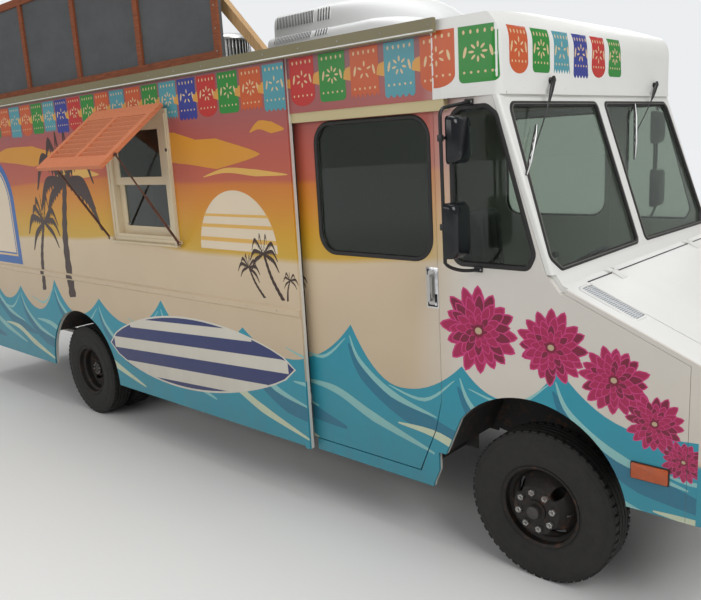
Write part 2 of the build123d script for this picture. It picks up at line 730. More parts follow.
def wheel_box():
    """Curved cover over the rear wheels of the driver's side, closed toward the aisle."""
    outer = CARGO_HALF_WIDTH - WALL - SEAT_GAP
    cover = rod_y(REAR_ARCH_X, SKIRT_Z, REAR_ARCH_RADIUS + SHEET, REAR_BOX_INNER_Y, outer)
    cover -= rod_y(REAR_ARCH_X, SKIRT_Z, REAR_ARCH_RADIUS, REAR_BOX_INNER_Y + SHEET, outer + 5)
    return cover - box(CARGO_REAR, CARGO_FRONT, 0, outer + 5, -SKIRT_Z,
                       FLOOR_Z - FLOOR_PLATE - SILL_DEPTH)


def step_well():
    """Step beside the driver's door with its riser and walls, and the shelf ahead of it."""
    top = FLOOR_Z
    step_z = DOOR_BOTTOM_Z - 6
    aisle = AISLE_HALF_WIDTH + SEAT_GAP
    rear = CARGO_FRONT + SEAT_GAP
    wall_y = POCKET_INNER_Y - 3
    well = box(rear, STEP_FRONT, aisle, CAB_HALF_WIDTH - CAB_PANEL - SEAT_GAP, step_z - SHEET, step_z)
    well += box(rear, AISLE_FRONT, aisle, aisle + SHEET, step_z - SHEET, top)
    for x in (rear, STEP_FRONT - SHEET):
        well += box(x, x + SHEET, aisle, wall_y, step_z - SHEET, top)
    well += box(STEP_FRONT - SHEET, SHELF_FRONT, aisle, wall_y, top - SHEET, top)
    return well + box(AISLE_FRONT + SEAT_GAP, SHELF_FRONT, WHEELHOUSE_INNER_Y, aisle + SHEET,
                      top - SHEET, top)


def front_arch(grow, y0, y1):
    """Solid that fills the front wheel arch, grown by an amount all round."""
    radius = FRONT_ARCH_RADIUS + grow

    def rim(angle):
        turn = math.radians(angle)
        return FRONT_ARCH_X + radius * math.cos(turn), FRONT_ARCH_Z + radius * math.sin(turn)

    foot_x = rim(FRONT_ARCH_START)[0]
    runs = [rim(FRONT_ARCH_START), (*rim((FRONT_ARCH_START + FRONT_ARCH_END) / 2), *rim(FRONT_ARCH_END)),
            (FRONT_ARCH_REAR - grow, FRONT_ARCH_REAR_Z), (FRONT_ARCH_REAR - grow - 20, 300)]
    return arc_prism((foot_x, 300), runs, y0, y1)


def front_wheelhouses():
    """Inner covers over the front wheels, carried by the side panels."""
    panel_y = CAB_HALF_WIDTH - CAB_PANEL
    cover = front_arch(WHEELHOUSE_GAP + SHEET, WHEELHOUSE_INNER_Y, panel_y)
    cover -= front_arch(WHEELHOUSE_GAP, WHEELHOUSE_INNER_Y + SHEET, panel_y + 1)
    cover -= box(-900, 900, 400, 1200, 200, 590)
    cover -= box(-900, DOOR_FRONT + 10, 400, 1200, 200, 790)
    return {"front_wheelhouses": pair(cover)}


def cargo_walls():
    """Flat side walls with rear arches, rub rails and, on the kerb side, the window's hole."""
    half = CARGO_HALF_WIDTH
    rear = CARGO_REAR + REAR_FRAME
    wall = box(rear, CARGO_FRONT, half - WALL, half, SKIRT_Z, GUTTER_Z)
    wall += box(CARGO_FRONT - 40, CARGO_FRONT, half - WALL, half, SKIRT_Z - 14, SKIRT_Z)
    proud = half + RUB_RAIL_PROUD
    wall += front_prism([(half - 1, RUB_RAIL_Z), (half, RUB_RAIL_Z),
                         (proud, RUB_RAIL_Z + RUB_RAIL_CHAMFER),
                         (proud, RUB_RAIL_Z + RUB_RAIL_HEIGHT - RUB_RAIL_CHAMFER),
                         (half, RUB_RAIL_Z + RUB_RAIL_HEIGHT), (half - 1, RUB_RAIL_Z + RUB_RAIL_HEIGHT)],
                        rear, CARGO_FRONT)
    wall -= rod_y(REAR_ARCH_X, SKIRT_Z, REAR_ARCH_RADIUS, half - WALL - 10, half + 30)
    reach = CASING_WIDTH / 2 - CASING_BORDER
    hole = box(WINDOW_X - reach, WINDOW_X + reach, -half - 40, -half + WALL + 10,
               CASING_BOTTOM_Z + CASING_BORDER, CASING_TOP_Z - CASING_BORDER)
    kerb_side = other_side(wall) - hole
    return {"cargo_walls": Compound(children=[*wall.solids(), *kerb_side.solids()])}


def dome(x0, x1, half, bottom, drop):
    """Solid under the crowned roof line, lowered by a drop, between two stations."""
    edge_z, crown = ROOF_EDGE_Z - drop, ROOF_CROWN_Z - drop
    x = ahead(x0)
    outline = Wire([
        Line((x, -half, bottom), (x, -half, edge_z)),
        ThreePointArc((x, -half, edge_z), (x, 0, crown), (x, half, edge_z)),
        Line((x, half, edge_z), (x, half, bottom)),
        Line((x, half, bottom), (x, -half, bottom)),
    ])
    return extrude(make_face(outline), amount=x1 - x0, dir=(1, 0, 0))


def roof():
    """Crowned roof skin with its turned-down edges, and the rails along them."""
    half = CARGO_HALF_WIDTH
    shell = dome(CARGO_REAR, CAP_REAR, half, GUTTER_Z, 0)
    shell -= dome(CARGO_REAR - 5, CAP_REAR + 5, half - ROOF_EDGE, GUTTER_Z - 5, ROOF_SKIN)
    rail = box(CARGO_REAR, CAP_REAR + 50, half, half + EDGE_RAIL_PROUD, GUTTER_Z + 4,
               GUTTER_Z + EDGE_RAIL_HEIGHT)
    rail += box(CARGO_REAR, CAP_REAR + 50, half, half + GUTTER_PROUD, GUTTER_Z, GUTTER_Z + 6)
    return {"roof": shell, "roof_edge_rails": pair(rail)}


def cap_body(inset):
    """Outer form of the moulded cap over the windscreen, pulled in by an amount."""
    behind = 20 if inset else 0
    rear, bottom = CAP_REAR - behind, SCREEN_TOP_Z - behind
    front = SCREEN_TOP_X + CAP_OVER_SCREEN - inset
    side, corner = CAP_SIDE_Y - inset, CAP_CORNER_Y - inset
    plan = [(rear, -side), (CAP_BREAK, -side), (front, -corner), (front, corner),
            (CAP_BREAK, side), (rear, side)]
    tower = plan_prism(plan, bottom, 3000, [0, 60, CAP_CORNER_RADIUS, CAP_CORNER_RADIUS, 60, 0])
    crown = ROOF_CROWN_Z - inset
    profile = [(rear, bottom), (front, bottom), (front - 6, crown - 4), (rear, crown)]
    wedge = side_prism(profile, -1200, 1200, [0, 0, CAP_BROW_RADIUS - inset, 0])
    return tower & wedge & dome(rear - 5, 200, CARGO_HALF_WIDTH, bottom - 5, inset)


def front_cap():
    """Hollow cap, open below and behind, with a drip lip along its front."""
    front = SCREEN_TOP_X + CAP_OVER_SCREEN
    half = CAP_CORNER_Y - CAP_CORNER_RADIUS
    cap = cap_body(0) - cap_body(CAP_SKIN)
    return {"front_cap": cap + box(front - 3, front + CAP_LIP, -half, half, SCREEN_TOP_Z,
                                   SCREEN_TOP_Z + CAP_LIP_HEIGHT)}


def windscreen():
    """Raked frame with two apertures, the cowl below it and the two panes."""
    base, top = SCREEN_BASE_Z, SCREEN_TOP_Z
    half, back = CAB_HALF_WIDTH, SCREEN_THICKNESS
    frame = side_prism([(screen_x(base), base), (screen_x(top), top),
                        (screen_x(top) - back, top), (screen_x(base) - back, base)], -half, half)
    pillars = frame.edges().filter_by(lambda e: abs(abs(e.center().Y) - half) < 1
                                      and e.length > 500 and e.center().X > ahead(-60))
    frame = fillet(pillars, 14)
    hole = front_prism(corners(PANE), -300, 200, radii(PANE))
    frame = frame - hole - other_side(hole)
    low_z, high_z = base - 55, top + 10
    face, rear = PANE_DEPTH, PANE_DEPTH + GLASS
    sheet = side_prism([(screen_x(low_z) - face, low_z), (screen_x(high_z) - face, high_z),
                        (screen_x(high_z) - rear, high_z), (screen_x(low_z) - rear, low_z)],
                       -half, half)
    pane = sheet & front_prism(inset_points(corners(PANE), SEAT_GAP), -300, 200, radii(PANE))
    inner = half - CAB_PANEL
    cowl = side_prism([(FIREWALL, base), (screen_x(base), base), (HOOD_LINE_X, HOOD_LINE_Z),
                       (HOOD_REAR, hood_z(HOOD_REAR)), (HOOD_REAR, COWL_BOTTOM_Z),
                       (FIREWALL, COWL_BOTTOM_Z)], -inner, inner)
    cowl += box(FIREWALL, FIREWALL + SHEET, -inner, inner, FIREWALL_BOTTOM_Z, COWL_BOTTOM_Z + 40)
    cowl -= box(FIREWALL - 5, FIREWALL + SHEET + 5, -COVER_HALF_WIDTH, COVER_HALF_WIDTH,
                FIREWALL_BOTTOM_Z - 40, COVER_TOP_Z)
    toe = [(AISLE_FRONT + SEAT_GAP, FLOOR_Z), (TOE_REAR, FLOOR_Z), (FIREWALL + SHEET, TOE_TOP_Z),
           (FIREWALL + SHEET, TOE_TOP_Z - SHEET), (TOE_REAR, FLOOR_Z - SHEET),
           (AISLE_FRONT + SEAT_GAP, FLOOR_Z - SHEET)]
    for side in (-1, 1):
        cowl += side_prism(toe, *span(side, COVER_HALF_WIDTH + 2, WHEELHOUSE_INNER_Y - SEAT_GAP))
    for y in (-HOOD_HINGE_Y, HOOD_HINGE_Y):
        for side in (-1, 1):
            cowl += hood_hinge_leaf(-1, *span(1, y + side * 30.5, y + side * 55))
    return {"windscreen_frame": frame, "cowl": cowl}, pair(pane)


def hood_hinge_leaf(side, y0, y1):
    """Barrel and strap of the hood's hinge, on its cowl side (-1) or hood side (+1)."""
    x, z = HOOD_HINGE_X, hood_z(HOOD_HINGE_X) + HOOD_HINGE_RISE
    near, far = x + side * 9, x + side * 62
    if side < 0:
        far = HOOD_LINE_X + 2
    strap = side_prism([(near, hood_z(near) - 1), (far, hood_z(far) - 1), (far, hood_z(far) + 4),
                        (x, z + 3), (x, z - 3)], y0, y1)
    return strap + rod_y(x, z, HOOD_HINGE_RADIUS, y0, y1)


def cab_side():
    """Cab side on the driver's side: window surround, apron under the hood line and arch."""
    half = CAB_HALF_WIDTH
    inner = half - CAB_PANEL
    edge = DOOR_FRONT + 4
    screen_back = SCREEN_THICKNESS + 2
    heel = [(x + 7, z - 6 if z < 700 else z) for x, z in reversed(DOOR_HEEL[1:3])]
    apron_z = hood_z(HOOD_REAR) - HOOD_LINE_DROP
    outline = [(edge, SCREEN_TOP_Z), (edge, DOOR_HEEL[3][1] - 2), *heel,
               (-729, DOOR_BOTTOM_Z - 10), (-729, CAB_SIDE_BOTTOM_Z), (-600, CAB_SIDE_BOTTOM_Z),
               (-600, NOSE_BOTTOM_Z), (NOSE_SEAM, NOSE_BOTTOM_Z),
               (NOSE_SEAM, hood_z(NOSE_SEAM) - HOOD_LINE_DROP), (HOOD_REAR, apron_z),
               (HOOD_LINE_X, apron_z), (screen_x(SCREEN_BASE_Z) - screen_back, SCREEN_BASE_Z),
               (screen_x(SCREEN_TOP_Z) - screen_back, SCREEN_TOP_Z)]
    panel = side_prism(outline, inner, half)
    panel -= front_arch(0, inner - 5, half + 5)
    panel -= side_prism(corners(QUARTER), inner - 5, half + 5, radii(QUARTER))
    return panel + box(CARGO_FRONT + 3, -729, inner, half, CAB_SIDE_BOTTOM_Z, DOOR_BOTTOM_Z - 6)


def sliding_door():
    """Sliding cab door with its window hole, handle and top rollers, on the driver's side."""
    outer = CAB_HALF_WIDTH - DOOR_RECESS
    inner = outer - DOOR_THICKNESS
    door = side_prism([(DOOR_REAR, DOOR_BOTTOM_Z), *DOOR_HEEL, (DOOR_FRONT, DOOR_TOP_Z),
                       (DOOR_REAR, DOOR_TOP_Z)], inner, outer)
    door -= side_prism(corners(DOOR_PANE), inner - 5, outer + 5, radii(DOOR_PANE))
    half = HANDLE_PLATE / 2
    door += side_prism([(HANDLE_X - half, HANDLE_LOW_Z), (HANDLE_X + half, HANDLE_LOW_Z),
                        (HANDLE_X + half, HANDLE_HIGH_Z), (HANDLE_X - half, HANDLE_HIGH_Z)],
                       outer, outer + 6, 12)
    grip = outer + 6 + HANDLE_STAND_OFF
    low, high = HANDLE_LOW_Z + 22, HANDLE_HIGH_Z - 18
    for z0, z1, y0 in ((low, low + 18, outer + 6), (high - 18, high, outer + 6), (low, high, grip)):
        door += box(HANDLE_X - 10, HANDLE_X + 10, y0, grip + HANDLE_BAR, z0, z1)
    middle = (inner + outer) / 2
    for x in (DOOR_REAR + ROLLER_INSET, DOOR_FRONT - ROLLER_INSET):
        door += rod_z(x, middle, ROLLER_PIN_RADIUS, DOOR_TOP_Z - 10, TRACK_Z + 16)
        door += rod_z(x, middle, ROLLER_RADIUS, TRACK_Z + 4, TRACK_Z + 16)
    pane = side_prism(inset_points(corners(DOOR_PANE), SEAT_GAP), outer - 18, outer - 18 + GLASS,
                      radii(DOOR_PANE))
    return door, pane


def door_headers():
    """Headers over the sliding doors, with the tracks that the doors' rollers run in."""
    top = HEADER_INNER_Y
    header = box(CARGO_FRONT, CAP_REAR, CAP_SIDE_Y - CAB_PANEL, CAP_SIDE_Y, HEADER_TOP_Z, GUTTER_Z)
    header += box(CARGO_FRONT, HEADER_FRONT, top, CAP_SIDE_Y, SCREEN_TOP_Z, HEADER_TOP_Z)
    header += box(CARGO_FRONT, HEADER_FRONT, top, CAP_SIDE_Y - 6, HEADER_BOTTOM_Z, SCREEN_TOP_Z)
    header -= box(CAP_REAR, HEADER_FRONT + 70, CAP_SIDE_Y - 80, CAP_SIDE_Y + 5, SCREEN_TOP_Z, 2900)
    middle = CAB_HALF_WIDTH - DOOR_RECESS - DOOR_THICKNESS / 2
    slot = ROLLER_RADIUS + ROLLER_CLEARANCE
    crest = TRACK_Z + TRACK_HEIGHT
    header += box(TRACK_REAR, TRACK_FRONT, middle - slot - TRACK_WALL, middle + slot + TRACK_WALL,
                  TRACK_Z, crest)
    header -= box(TRACK_REAR - 5, TRACK_FRONT + 5, middle - slot, middle + slot,
                  TRACK_Z - 5, crest - TRACK_WALL)
    header += box(TRACK_REAR, TRACK_FRONT, middle, top + 6, crest - TRACK_WALL, crest)
    header += box(TRACK_REAR, CARGO_FRONT - 1, middle, CARGO_HALF_WIDTH - WALL - SEAT_GAP,
                  crest - TRACK_WALL, crest)
    return pair(header)


def cab():
    """Cab sides, sliding doors, headers over the doors and the glass."""
    side = cab_side()
    door, pane = sliding_door()
    nodes = {"cab_sides": pair(side),
             "sliding_door_left": door, "sliding_door_right": other_side(door),
             "door_glass_left": pane, "door_glass_right": other_side(pane),
             "door_headers": door_headers()}
    quarter = side_prism(inset_points(corners(QUARTER), SEAT_GAP), CAB_HALF_WIDTH - 20,
                         CAB_HALF_WIDTH - 20 + GLASS, radii(QUARTER))
    return nodes, pair(quarter)


def nose_form(inset, behind):
    """Sloping nose with rounded corners, pulled in by an amount and carried back and down."""
    half, front, rear = CAB_HALF_WIDTH - inset, NOSE_FRONT - inset, HOOD_REAR - behind
    bottom = NOSE_BOTTOM_Z - behind
    body = side_prism([(rear, hood_z(rear) - inset * 1.1), (front, hood_z(front) - inset * 1.1),
                       (front, bottom), (rear, bottom)], -half, half,
                      [0, NOSE_BROW_RADIUS - inset, 0, 0])
    corner = NOSE_CORNER_RADIUS - inset
    return body & plan_prism([(rear, -half), (front, -half), (front, half), (rear, half)],
                             400, 1800, [0, corner, corner, 0])


def nose():
    """Fender tops and front face in one moulding, with the hood and grille let into it."""
    front, half = NOSE_FRONT, CAB_HALF_WIDTH
    rear = HOOD_REAR - PANEL_GAP
    shell = nose_form(0, 0) - nose_form(NOSE_SKIN, 20)
    drop = HOOD_LINE_DROP - 2
    for side in (-1, 1):
        shell -= side_prism([(rear, hood_z(rear) - drop), (NOSE_SEAM + 2, hood_z(NOSE_SEAM + 2) - drop),
                             (NOSE_SEAM + 2, 500), (rear, 500)],
                            *span(side, half - CAB_PANEL - 6, half + 5))
        shell -= rod_x(side * LAMP_Y, LAMP_Z, LAMP_RADIUS, front - 60, front + 20)
    shell -= box(rear, HOOD_FRONT, -HOOD_HALF_WIDTH, HOOD_HALF_WIDTH, 1200, 1700)
    shell -= box(front - 40, front + 5, -500, 500, 400, 750)
    shell -= box(front - 40, front + 5, -GRILLE_HALF_WIDTH, GRILLE_HALF_WIDTH, GRILLE_LOW_Z,
                 GRILLE_HIGH_Z)
    x0, x1 = HOOD_REAR + PANEL_GAP, HOOD_FRONT - PANEL_GAP
    edge = HOOD_HALF_WIDTH - PANEL_GAP
    lid = side_prism([(x0, hood_z(x0)), (x1, hood_z(x1)), (x1, hood_z(x1) - HOOD_THICKNESS),
                      (x0, hood_z(x0) - HOOD_THICKNESS)], -edge, edge)
    for y in (-HOOD_HINGE_Y, HOOD_HINGE_Y):
        lid += hood_hinge_leaf(1, y - 30, y + 30)
    return {"nose_panel": shell, "hood": lid, "grille": grille(), "front_bumper": front_bumper()}


def grille():
    """Frame of the front grille with level bars and a middle post."""
    half = GRILLE_HALF_WIDTH - SEAT_GAP
    low, high = GRILLE_LOW_Z + SEAT_GAP, GRILLE_HIGH_Z - SEAT_GAP
    x0, x1 = NOSE_FRONT - 28, NOSE_FRONT - 1
    border, bar = GRILLE_BORDER, GRILLE_BAR / 2
    frame = box(x0, x1, -half, half, low, high)
    frame -= box(x0 - 1, x1 + 1, -half + border, half - border, low + border, high - border)
    pitch = (high - low - 2 * border) / (GRILLE_BARS + 1)
    for index in range(GRILLE_BARS):
        z = low + border + pitch * (index + 1)
        frame += box(x0 + 4, x1 - 6, -half + border - 1, half - border + 1, z - bar, z + bar)
    return frame + box(x0 + 2, x1 - 4, -12, 12, low + border - 1, high - border + 1)


def front_bumper():
    """Pressed bumper with its ends turned back, on two brackets from the rails."""
    half, turn = BUMPER_HALF_WIDTH, BUMPER_TURN
    x1 = FRONT_OVERHANG
    back, tip, heel = x1 - BUMPER_WALL, x1 - BUMPER_RETURN, x1 - BUMPER_RETURN - 15
    plan = [(x1, -half + turn), (x1, half - turn), (tip, half), (heel, half),
            (back, half - turn - 5), (back, -half + turn + 5), (heel, -half), (tip, -half)]
    bumper = plan_prism(plan, BUMPER_LOW_Z, BUMPER_HIGH_Z)
    for side in (-1, 1):
        bumper += box(RAIL_FRONT, back, *span(side, BRACKET_INNER_Y, BRACKET_OUTER_Y),
                      RAIL_TOP_Z - RAIL_DEPTH + 10, RAIL_TOP_Z - 40)
    return bumper


def rear_door():
    """Hinged rear door of the driver's side, with two raised panels and three hinges."""
    x0, edge = CARGO_REAR, REAR_DOOR_HALF_WIDTH
    door = box(x0 + 2, x0 + 2 + REAR_DOOR_THICKNESS, PANEL_GAP, edge - PANEL_GAP,
               REAR_DOOR_BOTTOM_Z + PANEL_GAP, REAR_DOOR_TOP_Z - PANEL_GAP)
    for low, high in REAR_DOOR_PANELS:
        door -= box(x0 + 30, x0 + 40, 90, edge - 90, low, high)
        door += box(x0 - 6, x0 + 2, 100, edge - 100, low + 20, high - 20)
    for z in HINGE_HEIGHTS:
        door += rod_z(x0 - HINGE_OUT, edge, HINGE_RADIUS, z - HINGE_HALF_LENGTH,
                      z + HINGE_HALF_LENGTH)
        door += box(x0 - 8, x0 + 2, edge - 70, edge - 3, z - 30, z + 30)
    return door


def rear_end():
    """Rear frame, its two hinged doors and the step bumper."""
    half, x0, edge = CARGO_HALF_WIDTH, CARGO_REAR, REAR_DOOR_HALF_WIDTH
    frame = box(x0, x0 + REAR_FRAME, -half, half, SKIRT_Z, GUTTER_Z)
    frame -= box(x0 - 5, x0 + REAR_FRAME + 5, -edge, edge, REAR_DOOR_BOTTOM_Z, REAR_DOOR_TOP_Z)
    frame -= box(x0 - 5, x0 + REAR_FRAME + 5, -620, 620, SKIRT_Z - 5, RAIL_TOP_Z + 2)
    for side in (-1, 1):
        for z in HINGE_HEIGHTS:
            for low in (z + HINGE_HALF_LENGTH + 0.5, z - HINGE_HALF_LENGTH - 0.5 - HINGE_KNUCKLE):
                frame += rod_z(x0 - HINGE_OUT, side * edge, HINGE_RADIUS, low, low + HINGE_KNUCKLE)
                frame += box(x0 - 8, x0 + 2, *span(side, edge + 3, edge + 60), low,
                             low + HINGE_KNUCKLE)
    out = x0 - STEP_BUMPER_OUT
    low, high = STEP_BUMPER_LOW_Z, STEP_BUMPER_HIGH_Z
    bumper = box(out, x0 - 10, -half + 40, half - 40, low, high)
    bumper -= box(out + 10, x0 - 5, -half + 50, half - 50, low + 10, high - 10)
    bumper += box(out, x0 - 2, -700, 700, high - 10, high + 2)
    for side in (-1, 1):
        bumper += box(out + 7, RAIL_REAR, *span(side, BRACKET_INNER_Y, BRACKET_OUTER_Y), 560, 600)
    door = rear_door()
    return {"rear_frame": frame, "rear_door_left": door, "rear_door_right": other_side(door),
            "rear_bumper": bumper}


def pickup_window():
    """Casing, jambs and two sashes of the pick-up window, with the props' and hinges' pins."""
    half = CARGO_HALF_WIDTH
    face, pin_y = -half - SEAT_GAP, -half - SHUTTER_HINGE_OUT
    x0, x1 = WINDOW_X - CASING_WIDTH / 2, WINDOW_X + CASING_WIDTH / 2
    z0, z1 = CASING_BOTTOM_Z, CASING_TOP_Z
    inner = CASING_BORDER + SEAT_GAP
    frame = box(x0, x1, face - CASING_PROUD, face, z0, z1)
    frame += box(x0 + inner, x1 - inner, face, -half + WALL + 12, z0 + inner, z1 - inner)
    light_x0, light_x1 = x0 + SASH_MARGIN, x1 - SASH_MARGIN
    light_z0, light_z1 = z0 + SASH_MARGIN, z1 - SASH_MARGIN
    frame -= box(light_x0, light_x1, -half - 60, -half + WALL + 20, light_z0, light_z1)
    stile, rail, gap = SASH_STILE, SASH_RAIL, SEAT_GAP
    panes = []
    # columns: bottom, top, outer y
    for low, high, y in ((MEETING_RAIL_Z - SASH_OVERLAP, light_z1, -half + 2),
                         (light_z0, MEETING_RAIL_Z + SASH_OVERLAP, -half + 12 + SASH_THICKNESS)):
        sash = box(light_x0, light_x1, y, y + SASH_THICKNESS, low, high)
        frame += sash - box(light_x0 + stile, light_x1 - stile, y - 5, y + SASH_THICKNESS + 7,
                            low + rail, high - rail)
        panes.append(box(light_x0 + stile + gap, light_x1 - stile - gap, y + 7,
                         y + 7 + SASH_GLASS, low + rail + gap, high - rail - gap))
    for side in (-1, 1):
        prop_x = WINDOW_X + side * (SHUTTER_WIDTH / 2 + PROP_OUT_OF_SHUTTER)
        near = WINDOW_X + side * (CASING_WIDTH / 2 - PROP_PIN_RADIUS)
        clear = prop_x - side * (PROP_TUBE_RADIUS + 1)
        frame += box(near, clear, pin_y - 8, face, PROP_PIVOT_Z - 12, PROP_PIVOT_Z + 12)
        frame += rod_x(pin_y, PROP_PIVOT_Z, PROP_PIN_RADIUS, near,
                       prop_x + side * (PROP_TUBE_RADIUS + 3))
        x = WINDOW_X + side * CASING_HINGE_OFFSET
        frame += box(x - 30, x + 30, face - 10, face, z1 - 5, SHUTTER_HINGE_Z + 7)
        frame += box(x - 30, x + 30, pin_y, face, SHUTTER_HINGE_Z - 3, SHUTTER_HINGE_Z + 7)
        frame += rod_x(pin_y, SHUTTER_HINGE_Z, SHUTTER_HINGE_RADIUS, x - 30, x + 30)
    return {"pickup_window": frame}, panes


def slab(x0, x1, y0, y1, z0, z1):
    """Block between two corners of a piece that is still in its own frame."""
    centre = ((x0 + x1) / 2, (y0 + y1) / 2, (z0 + z1) / 2)
    return Pos(*centre) * Box(abs(x1 - x0), abs(y1 - y0), abs(z1 - z0))


def shutter():
    """Louvred wooden shutter, built hanging shut about its hinge and then swung open."""
    half, middle = SHUTTER_WIDTH / 2, SHUTTER_MIDDLE / 2
    y0, y1 = 11 - SHUTTER_THICKNESS, 11
    top, bottom = -SHUTTER_DROP, -SHUTTER_DROP - SHUTTER_LENGTH
    slats_top, slats_bottom = top - SHUTTER_TOP_RAIL, bottom + SHUTTER_BOTTOM_RAIL
    bays = ((-half + SHUTTER_STILE, -middle), (middle, half - SHUTTER_STILE))
    leaf = slab(-half, half, y0, y1, bottom, top)
    for x0, x1 in bays:
        leaf -= slab(x0, x1, y0 - 5, y1 + 5, slats_bottom, slats_top)
    pitch = (slats_top - slats_bottom) / SHUTTER_SLATS
    for x0, x1 in bays:
        window = slab(x0 - 1, x1 + 1, y0, y1, slats_bottom - 10, slats_top + 10)
        for index in range(SHUTTER_SLATS):
            z = slats_top - pitch * (index + 0.5)
            slat = Box(x1 - x0 + 2, SLAT_THICKNESS, SLAT_WIDTH)
            leaf += window & (Pos((x0 + x1) / 2, (y0 + y1) / 2, z) * Rot(SLAT_TILT, 0, 0) * slat)
    for x in (-CASING_HINGE_OFFSET, CASING_HINGE_OFFSET):
        for barrel_x in (x - 42 - SEAT_GAP, x + 42 + SEAT_GAP):
            leaf += Pos(barrel_x, 0, 0) * Rot(0, 90, 0) * Cylinder(SHUTTER_HINGE_RADIUS, 24)
            leaf += slab(barrel_x - 12, barrel_x + 12, -3, 3, top - 30, 3)
    stud = PROP_OUT_OF_SHUTTER - PROP_TUBE_RADIUS - 1
    for side in (-1, 1):
        leaf += Pos(side * (half + stud / 2), -3, -PROP_REACH) * Rot(0, 90, 0) * Cylinder(9, stud + 4)
    hinge = Pos(ahead(WINDOW_X), -CARGO_HALF_WIDTH - SHUTTER_HINGE_OUT, SHUTTER_HINGE_Z)
    return {"shutter": hinge * Rot(-SHUTTER_OPEN_ANGLE, 0, 0) * leaf}


def props():
    """Telescoping props: lower tubes on the casing's pins, and rods that reach the shutter."""
    swing = math.radians(SHUTTER_OPEN_ANGLE)
    out = PROP_REACH * math.sin(swing)
    up = SHUTTER_HINGE_Z - PROP_PIVOT_Z - PROP_REACH * math.cos(swing)
    length, lean = math.hypot(out, up), math.degrees(math.atan2(out, up))
    # Closed, the rod bottoms out in the tube just as the shutter meets the casing
    rod_start = length - PROP_TUBE_LENGTH
    tubes, rods = [], []
    for side in (-1, 1):
        x = ahead(WINDOW_X + side * (SHUTTER_WIDTH / 2 + PROP_OUT_OF_SHUTTER))
        base = Pos(x, -CARGO_HALF_WIDTH - SHUTTER_HINGE_OUT, PROP_PIVOT_Z) * Rot(lean, 0, 0)
        tube = Pos(0, 0, 10 + PROP_TUBE_LENGTH / 2) * Cylinder(PROP_TUBE_RADIUS, PROP_TUBE_LENGTH)
        tube += Rot(0, 90, 0) * Cylinder(PROP_EYE_RADIUS, 2 * PROP_TUBE_RADIUS)
        tube -= Rot(0, 90, 0) * Cylinder(PROP_PIN_RADIUS + PIN_CLEARANCE, 60)
        bore = Cylinder(PROP_ROD_RADIUS + PIN_CLEARANCE, PROP_TUBE_LENGTH)
        tube -= Pos(0, 0, 20 + PROP_TUBE_LENGTH / 2) * bore
        rod_end = length - 8
        rod = Pos(0, 0, (rod_start + rod_end) / 2) * Cylinder(PROP_ROD_RADIUS, rod_end - rod_start)
        rod += Pos(0, 0, length) * Rot(0, 90, 0) * Cylinder(PROP_EYE_RADIUS, 10)
        tubes += (base * tube).solids()
        rods += (base * rod).solids()
    return {"prop_tubes": Compound(children=tubes), "prop_rods": Compound(children=rods)}


def roof_gear():
    """Air conditioner, round vent and the blank sign with its diagonal brace."""
    under = dome(CARGO_REAR, CAP_REAR, CARGO_HALF_WIDTH, 2500, -SEAT_GAP)
    cooler = None
    for table, half in ((COOLER_TRAY, COOLER_HALF_WIDTH), (COOLER_COVER, COOLER_COVER_HALF_WIDTH)):
        shell = side_prism([(x, COOLER_BASE_Z + z) for x, z in corners(table)], -half, half,
                           radii(table))
        cooler = shell if cooler is None else cooler + shell
    vent = None
    for radius, low, high in VENT_STEPS:
        step = rod_z(VENT_X, VENT_Y, radius, low, high)
        vent = step if vent is None else vent + step
    sign = box(SIGN_REAR, SIGN_FRONT, SIGN_BACK_Y - SIGN_BOARD, SIGN_BACK_Y, SIGN_LOW_Z, SIGN_HIGH_Z)
    batten_y = SIGN_BACK_Y - SIGN_BOARD
    for z in (SIGN_LOW_Z, SIGN_HIGH_Z - SIGN_BATTEN):
        sign += box(SIGN_REAR, SIGN_FRONT, SIGN_FACE_Y, batten_y, z, z + SIGN_BATTEN)
    for index in range(SIGN_BAYS + 1):
        x = SIGN_REAR + (SIGN_FRONT - SIGN_BATTEN - SIGN_REAR) * index / SIGN_BAYS
        sign += box(x, x + SIGN_BATTEN, SIGN_FACE_Y, batten_y, SIGN_LOW_Z, SIGN_HIGH_Z)
    for x in SIGN_POSTS:
        sign += box(x, x + SIGN_BATTEN, SIGN_BACK_Y, SIGN_BACK_Y + 60, SIGN_LOW_Z - 20,
                    SIGN_HIGH_Z - 120)
    post = SIGN_POSTS[-1]
    sign += side_prism([(-1975, 2880), (-1900, 2880), (post + 60, 3560), (post, 3560), (post, 3500)],
                       SIGN_BACK_Y + 60, SIGN_BACK_Y + 110)
    return {"air_conditioner": cooler - under, "roof_vent": vent - under, "roof_sign": sign - under}


def mirrors():
    """Two mirror heads on a bent tube arm, on each side of the cab."""
    side, out, x = CAB_HALF_WIDTH, MIRROR_OUT, MIRROR_X
    foot_x, foot_z = -310, 1655
    path = FilletPolyline((ahead(x), side + 6, MIRROR_TOP_Z + 11), (ahead(x), out, MIRROR_TOP_Z - 20),
                          (ahead(x), out, MIRROR_LOW_Z), (ahead(foot_x), side + 6, foot_z), radius=45)
    arm = sweep(Plane(origin=path @ 0, z_dir=path % 0) * Circle(MIRROR_TUBE_RADIUS), path=path)
    arm += box(x - 24, x + 24, side, side + 12, MIRROR_TOP_Z - 3, MIRROR_TOP_Z + 25)
    arm += box(foot_x - 24, foot_x + 24, side, side + 12, foot_z - 15, foot_z + 15)
    arm += rod_z(x + 12, out - 78, 7, 1880, 2320)
    for z in (1900, 2320):
        arm += bar_between((x, out, z), (x + 14, out - 84, z), 8)
    for y0, y1, low, high, x0, x1, radius in MIRROR_HEADS:
        arm += front_prism([(y0, low), (y1, low), (y1, high), (y0, high)], x0, x1, radius)
    return {"mirrors": pair(arm)}


